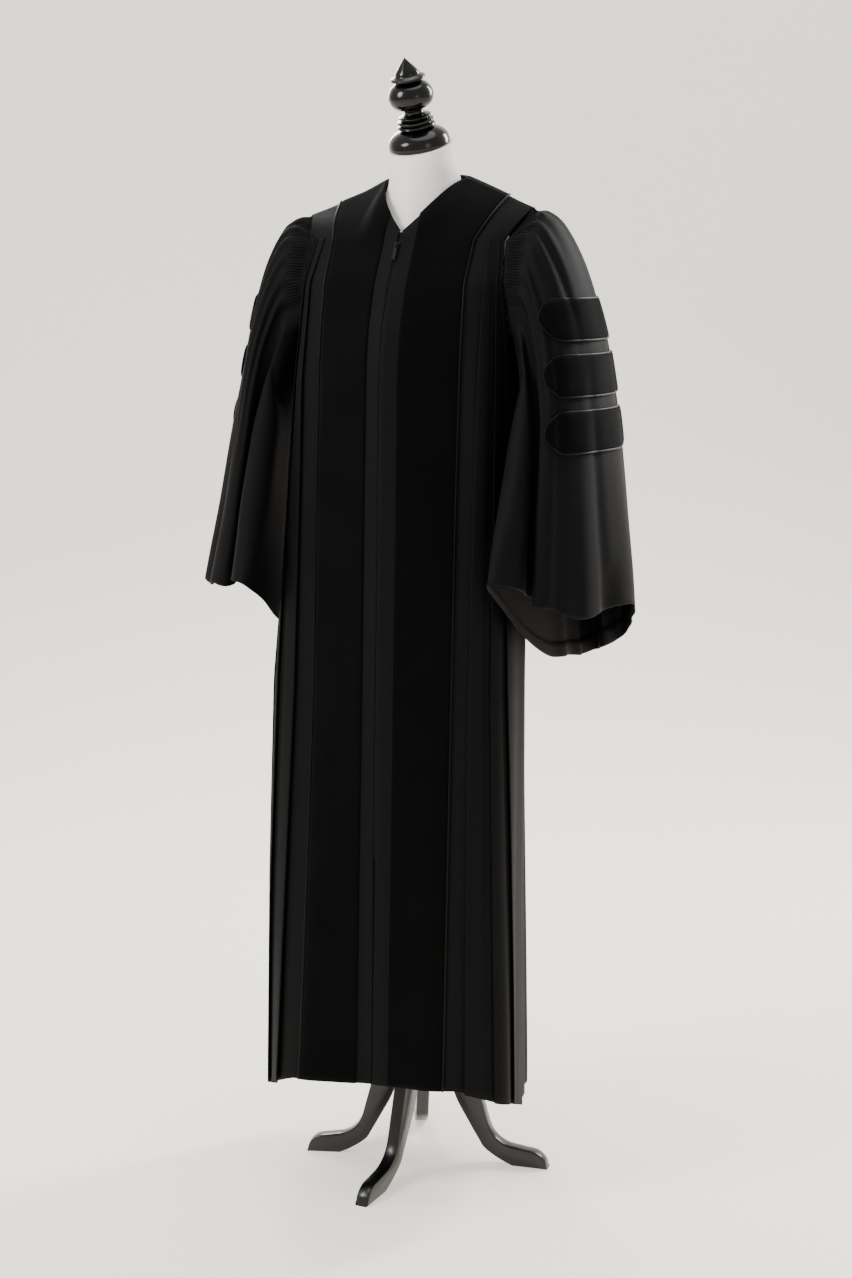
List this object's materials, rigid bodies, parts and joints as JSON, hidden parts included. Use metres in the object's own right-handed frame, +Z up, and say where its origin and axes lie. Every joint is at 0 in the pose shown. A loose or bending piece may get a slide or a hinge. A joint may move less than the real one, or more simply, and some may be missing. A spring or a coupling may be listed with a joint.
{
  "type": "graduation gown on dress form",
  "caption": "Black doctoral gown with bell sleeves, velvet front facings and sleeve bars, zipped up the front, worn by a limbless dress form on a legged pole stand.",
  "frame": {"origin": "middle of the bounding box on the floor, under the feet of the stand", "axes": "+Z up along the pole; the gown's front faces -Y and its left side is at +X"},
  "size_m": [0.6366, 0.4102, 1.6614],
  "materials": {
    "gown_cloth": "matt black worsted with a fine dry weave",
    "velvet": "deep black velvet, short even nap",
    "satin": "black satin cord covering, soft sheen",
    "zip_metal": "black enamelled zip",
    "form_cover": "smooth off-white jersey over a hard shell",
    "lacquer": "turned wood, glossy black lacquer",
    "stand_wood": "wood, satin black paint"
  },
  "bodies": {
    "gown_on_form": {"front_left": "gown_cloth", "front_right": "gown_cloth", "yoke_left": "gown_cloth", "yoke_right": "gown_cloth", "yoke_back": "gown_cloth", "back": "gown_cloth", "sleeve_left": "gown_cloth", "sleeve_right": "gown_cloth", "facing_left": "velvet", "facing_right": "velvet", "facing_back": "velvet", "bar_left_1": "velvet", "bar_left_2": "velvet", "bar_left_3": "velvet", "bar_right_1": "velvet", "bar_right_2": "velvet", "bar_right_3": "velvet", "piping_left": "satin", "piping_right": "satin", "piping_back": "satin", "bar_piping_left_1": "satin", "bar_piping_left_2": "satin", "bar_piping_left_3": "satin", "bar_piping_right_1": "satin", "bar_piping_right_2": "satin", "bar_piping_right_3": "satin", "zip_chain": "zip_metal", "zip_slider": "zip_metal", "form_torso": "form_cover", "neck_cap": "lacquer", "finial_collar": "lacquer", "finial_knob": "lacquer", "finial_tip": "lacquer", "stand_pole": "stand_wood", "stand_hub": "stand_wood", "leg_left": "stand_wood", "leg_right": "stand_wood", "leg_front": "stand_wood", "leg_back": "stand_wood"},
    "pull_tab": {"zip_pull": "zip_metal"}
  },
  "joints": [
    {"name": "pull_tab_swing", "type": "hinge", "parent": "gown_on_form", "child": "pull_tab", "pos_m": [-0.00267, -0.0646, 1.39951], "axis": [-1, 0, 0], "range_deg": [0, 150]}
  ]
}
